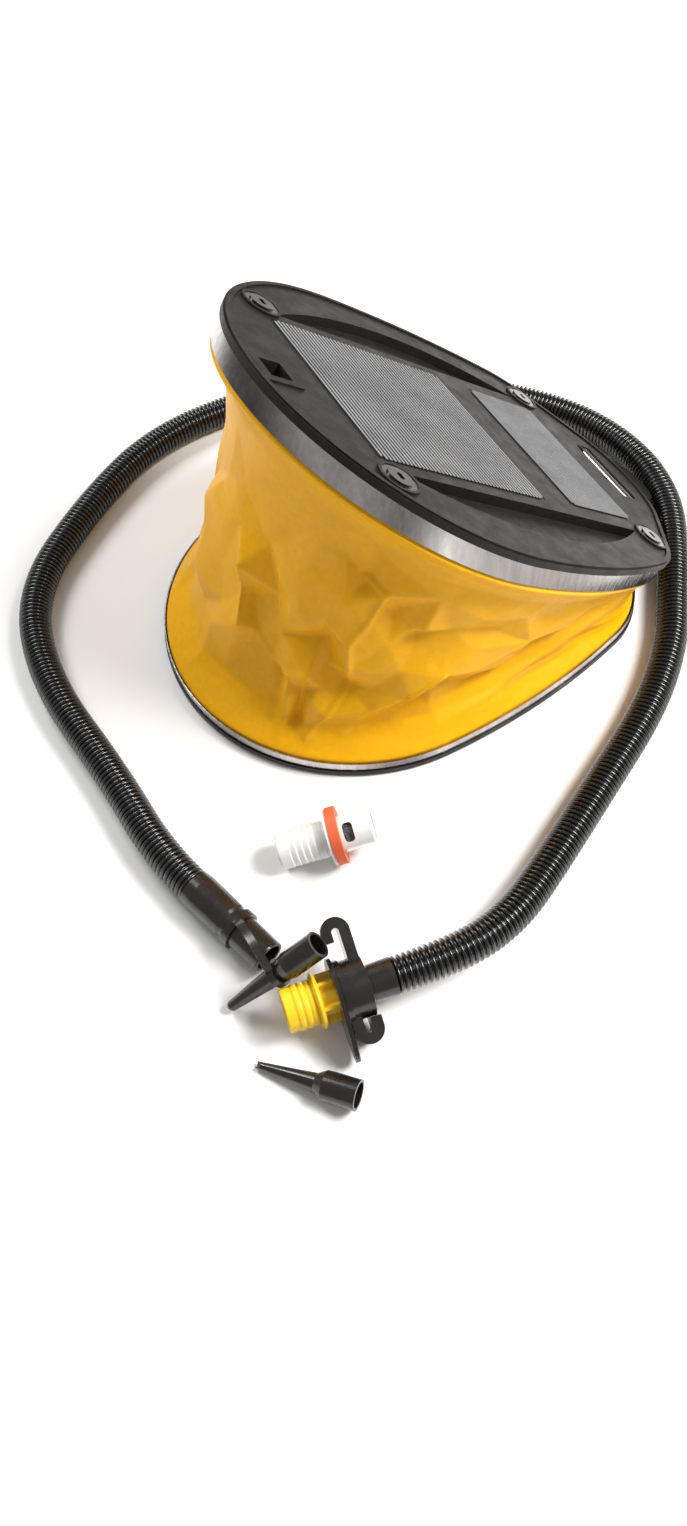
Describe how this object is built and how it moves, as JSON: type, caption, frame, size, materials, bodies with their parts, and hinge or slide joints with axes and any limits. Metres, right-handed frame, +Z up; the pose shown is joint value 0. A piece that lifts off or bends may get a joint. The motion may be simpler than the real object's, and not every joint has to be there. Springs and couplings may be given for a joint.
{
  "type": "foot air pump",
  "caption": "Bellows foot pump: two hinged teardrop plates, coated-fabric bellows, ribbed treads, corrugated hose with fittings, valve adaptor and cone nozzle.",
  "frame": {"origin": "on the plane the feet stand on, under the centre of the big arc at the free end of the base", "axes": "+X from the free end towards the hinge, +Z up, +Y towards the side with the outlet socket"},
  "size_m": [0.4719, 0.525, 0.2239],
  "materials": {
    "moulded_black": "satin injection-moulded plastic",
    "tread_grey": "ribbed, worn matt",
    "rubber_black": "matt",
    "band_steel": "rolled stainless strip",
    "coated_fabric": "PVC-coated nylon, soft sheen",
    "bright_steel": "polished wire",
    "spring_steel": "oiled wire",
    "fitting_black": "smooth soft PVC",
    "hose_black": "glossy corrugated tube",
    "spigot_yellow": "smooth",
    "adaptor_white": "fine satin",
    "gasket_orange": "matt",
    "screen_dark": "woven mesh"
  },
  "bodies": {
    "base": {"base_plate": "moulded_black", "base_feet": "rubber_black", "bottom_band": "band_steel", "bottom_band_clip": "band_steel", "bellows": "coated_fabric", "hinge_pin": "bright_steel", "pin_clips": "bright_steel", "return_spring": "spring_steel", "spring_seat_lower": "moulded_black", "outlet_port": "moulded_black", "port_screws": "bright_steel", "outlet_seat": "moulded_black", "hose": "hose_black", "hose_cuff": "fitting_black", "tethered_nozzle": "fitting_black", "tether_strap": "fitting_black", "connector_cuff": "fitting_black", "connector_disc": "fitting_black", "threaded_spigot": "spigot_yellow", "spigot_seal": "spigot_yellow"},
    "pedal": {"pedal_plate": "moulded_black", "top_band": "band_steel", "top_band_clip": "band_steel", "tread_large": "tread_grey", "tread_small": "tread_grey", "boss_plugs": "fitting_black", "grip_rod": "bright_steel", "spring_seat_upper": "moulded_black", "intake_frame": "moulded_black"},
    "intake_flap": {"intake_flap": "rubber_black"},
    "outlet_flap": {"outlet_flap": "rubber_black"},
    "bayonet_collar": {"bayonet_collar": "fitting_black"},
    "valve_adaptor": {"adaptor_body": "adaptor_white", "adaptor_gasket": "gasket_orange", "adaptor_screen": "screen_dark"},
    "cone_nozzle": {"cone_nozzle": "fitting_black"}
  },
  "joints": [
    {"name": "pedal_hinge", "type": "hinge", "parent": "base", "child": "pedal", "pos_m": [0.2075, 0, 0.0144], "axis": [0, -1, 0], "range_deg": [0, 34], "stiffness_Nm_per_rad": 12, "springref_deg": -20.05, "deforming": ["bellows", "return_spring"]},
    {"name": "intake_flap_hinge", "type": "hinge", "parent": "pedal", "child": "intake_flap", "pos_m": [-0.03769, 0, 0.19922], "axis": [0, -1, 0], "range_deg": [0, 35], "stiffness_Nm_per_rad": 0.002, "springref_deg": -34.38},
    {"name": "outlet_flap_hinge", "type": "hinge", "parent": "base", "child": "outlet_flap", "pos_m": [0.11409, 0.1377, 0.03218], "axis": [0.199, 0.98, 0], "range_deg": [0, 40], "stiffness_Nm_per_rad": 0.001, "springref_deg": -11.46},
    {"name": "collar_turn", "type": "hinge", "parent": "base", "child": "bayonet_collar", "pos_m": [-0.105, -0.244, 0.0205], "axis": [-0.9874, 0.158, 0], "range_deg": [0, 45]},
    {"name": "adaptor_lift", "type": "slide", "parent": "base", "child": "valve_adaptor", "axis": [0, 0, 1], "range_m": [0, 0.06]},
    {"name": "cone_nozzle_lift", "type": "slide", "parent": "base", "child": "cone_nozzle", "axis": [0, 0, 1], "range_m": [0, 0.06]}
  ]
}
